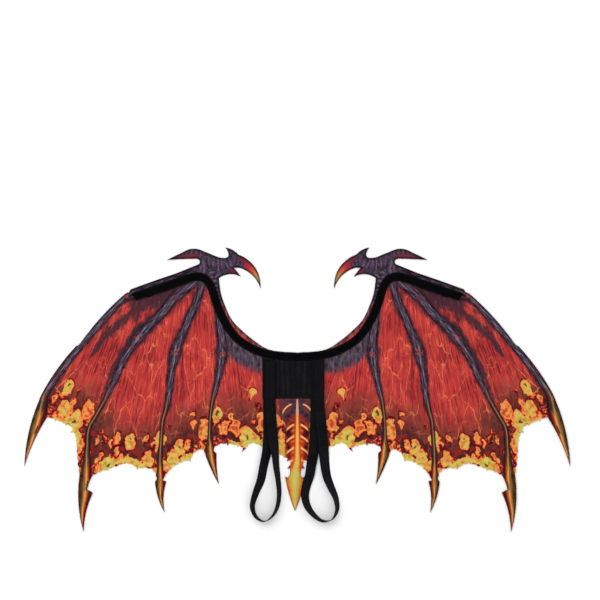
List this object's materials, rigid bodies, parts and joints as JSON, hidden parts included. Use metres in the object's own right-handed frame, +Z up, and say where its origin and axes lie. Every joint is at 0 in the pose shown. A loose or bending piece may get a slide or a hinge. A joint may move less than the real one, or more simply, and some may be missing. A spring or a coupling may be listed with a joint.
{
  "type": "costume dragon wings",
  "caption": "Pair of printed felt dragon wings cut as one sheet, with clawed finger tips, scorched hem, middle tail, black edge binding, nape panel and two elastic shoulder loops.",
  "frame": {"origin": "middle of the spread wings on the floor they lie on", "axes": "+X across the span towards the wing that lies on the right with the straps up, +Y towards the neck opening, +Z up from the floor, out of the side that carries the panel and straps"},
  "size_m": [1.0474, 0.546, 0.02],
  "materials": {
    "printed_felt": "matt",
    "black_binding": "matt",
    "panel_cloth": "matt",
    "black_elastic": "matt"
  },
  "bodies": {
    "root": {"wing_sheet": "printed_felt", "edge_binding": "black_binding", "centre_pad": "panel_cloth", "strap_left": "black_elastic", "strap_right": "black_elastic"}
  },
  "joints": []
}
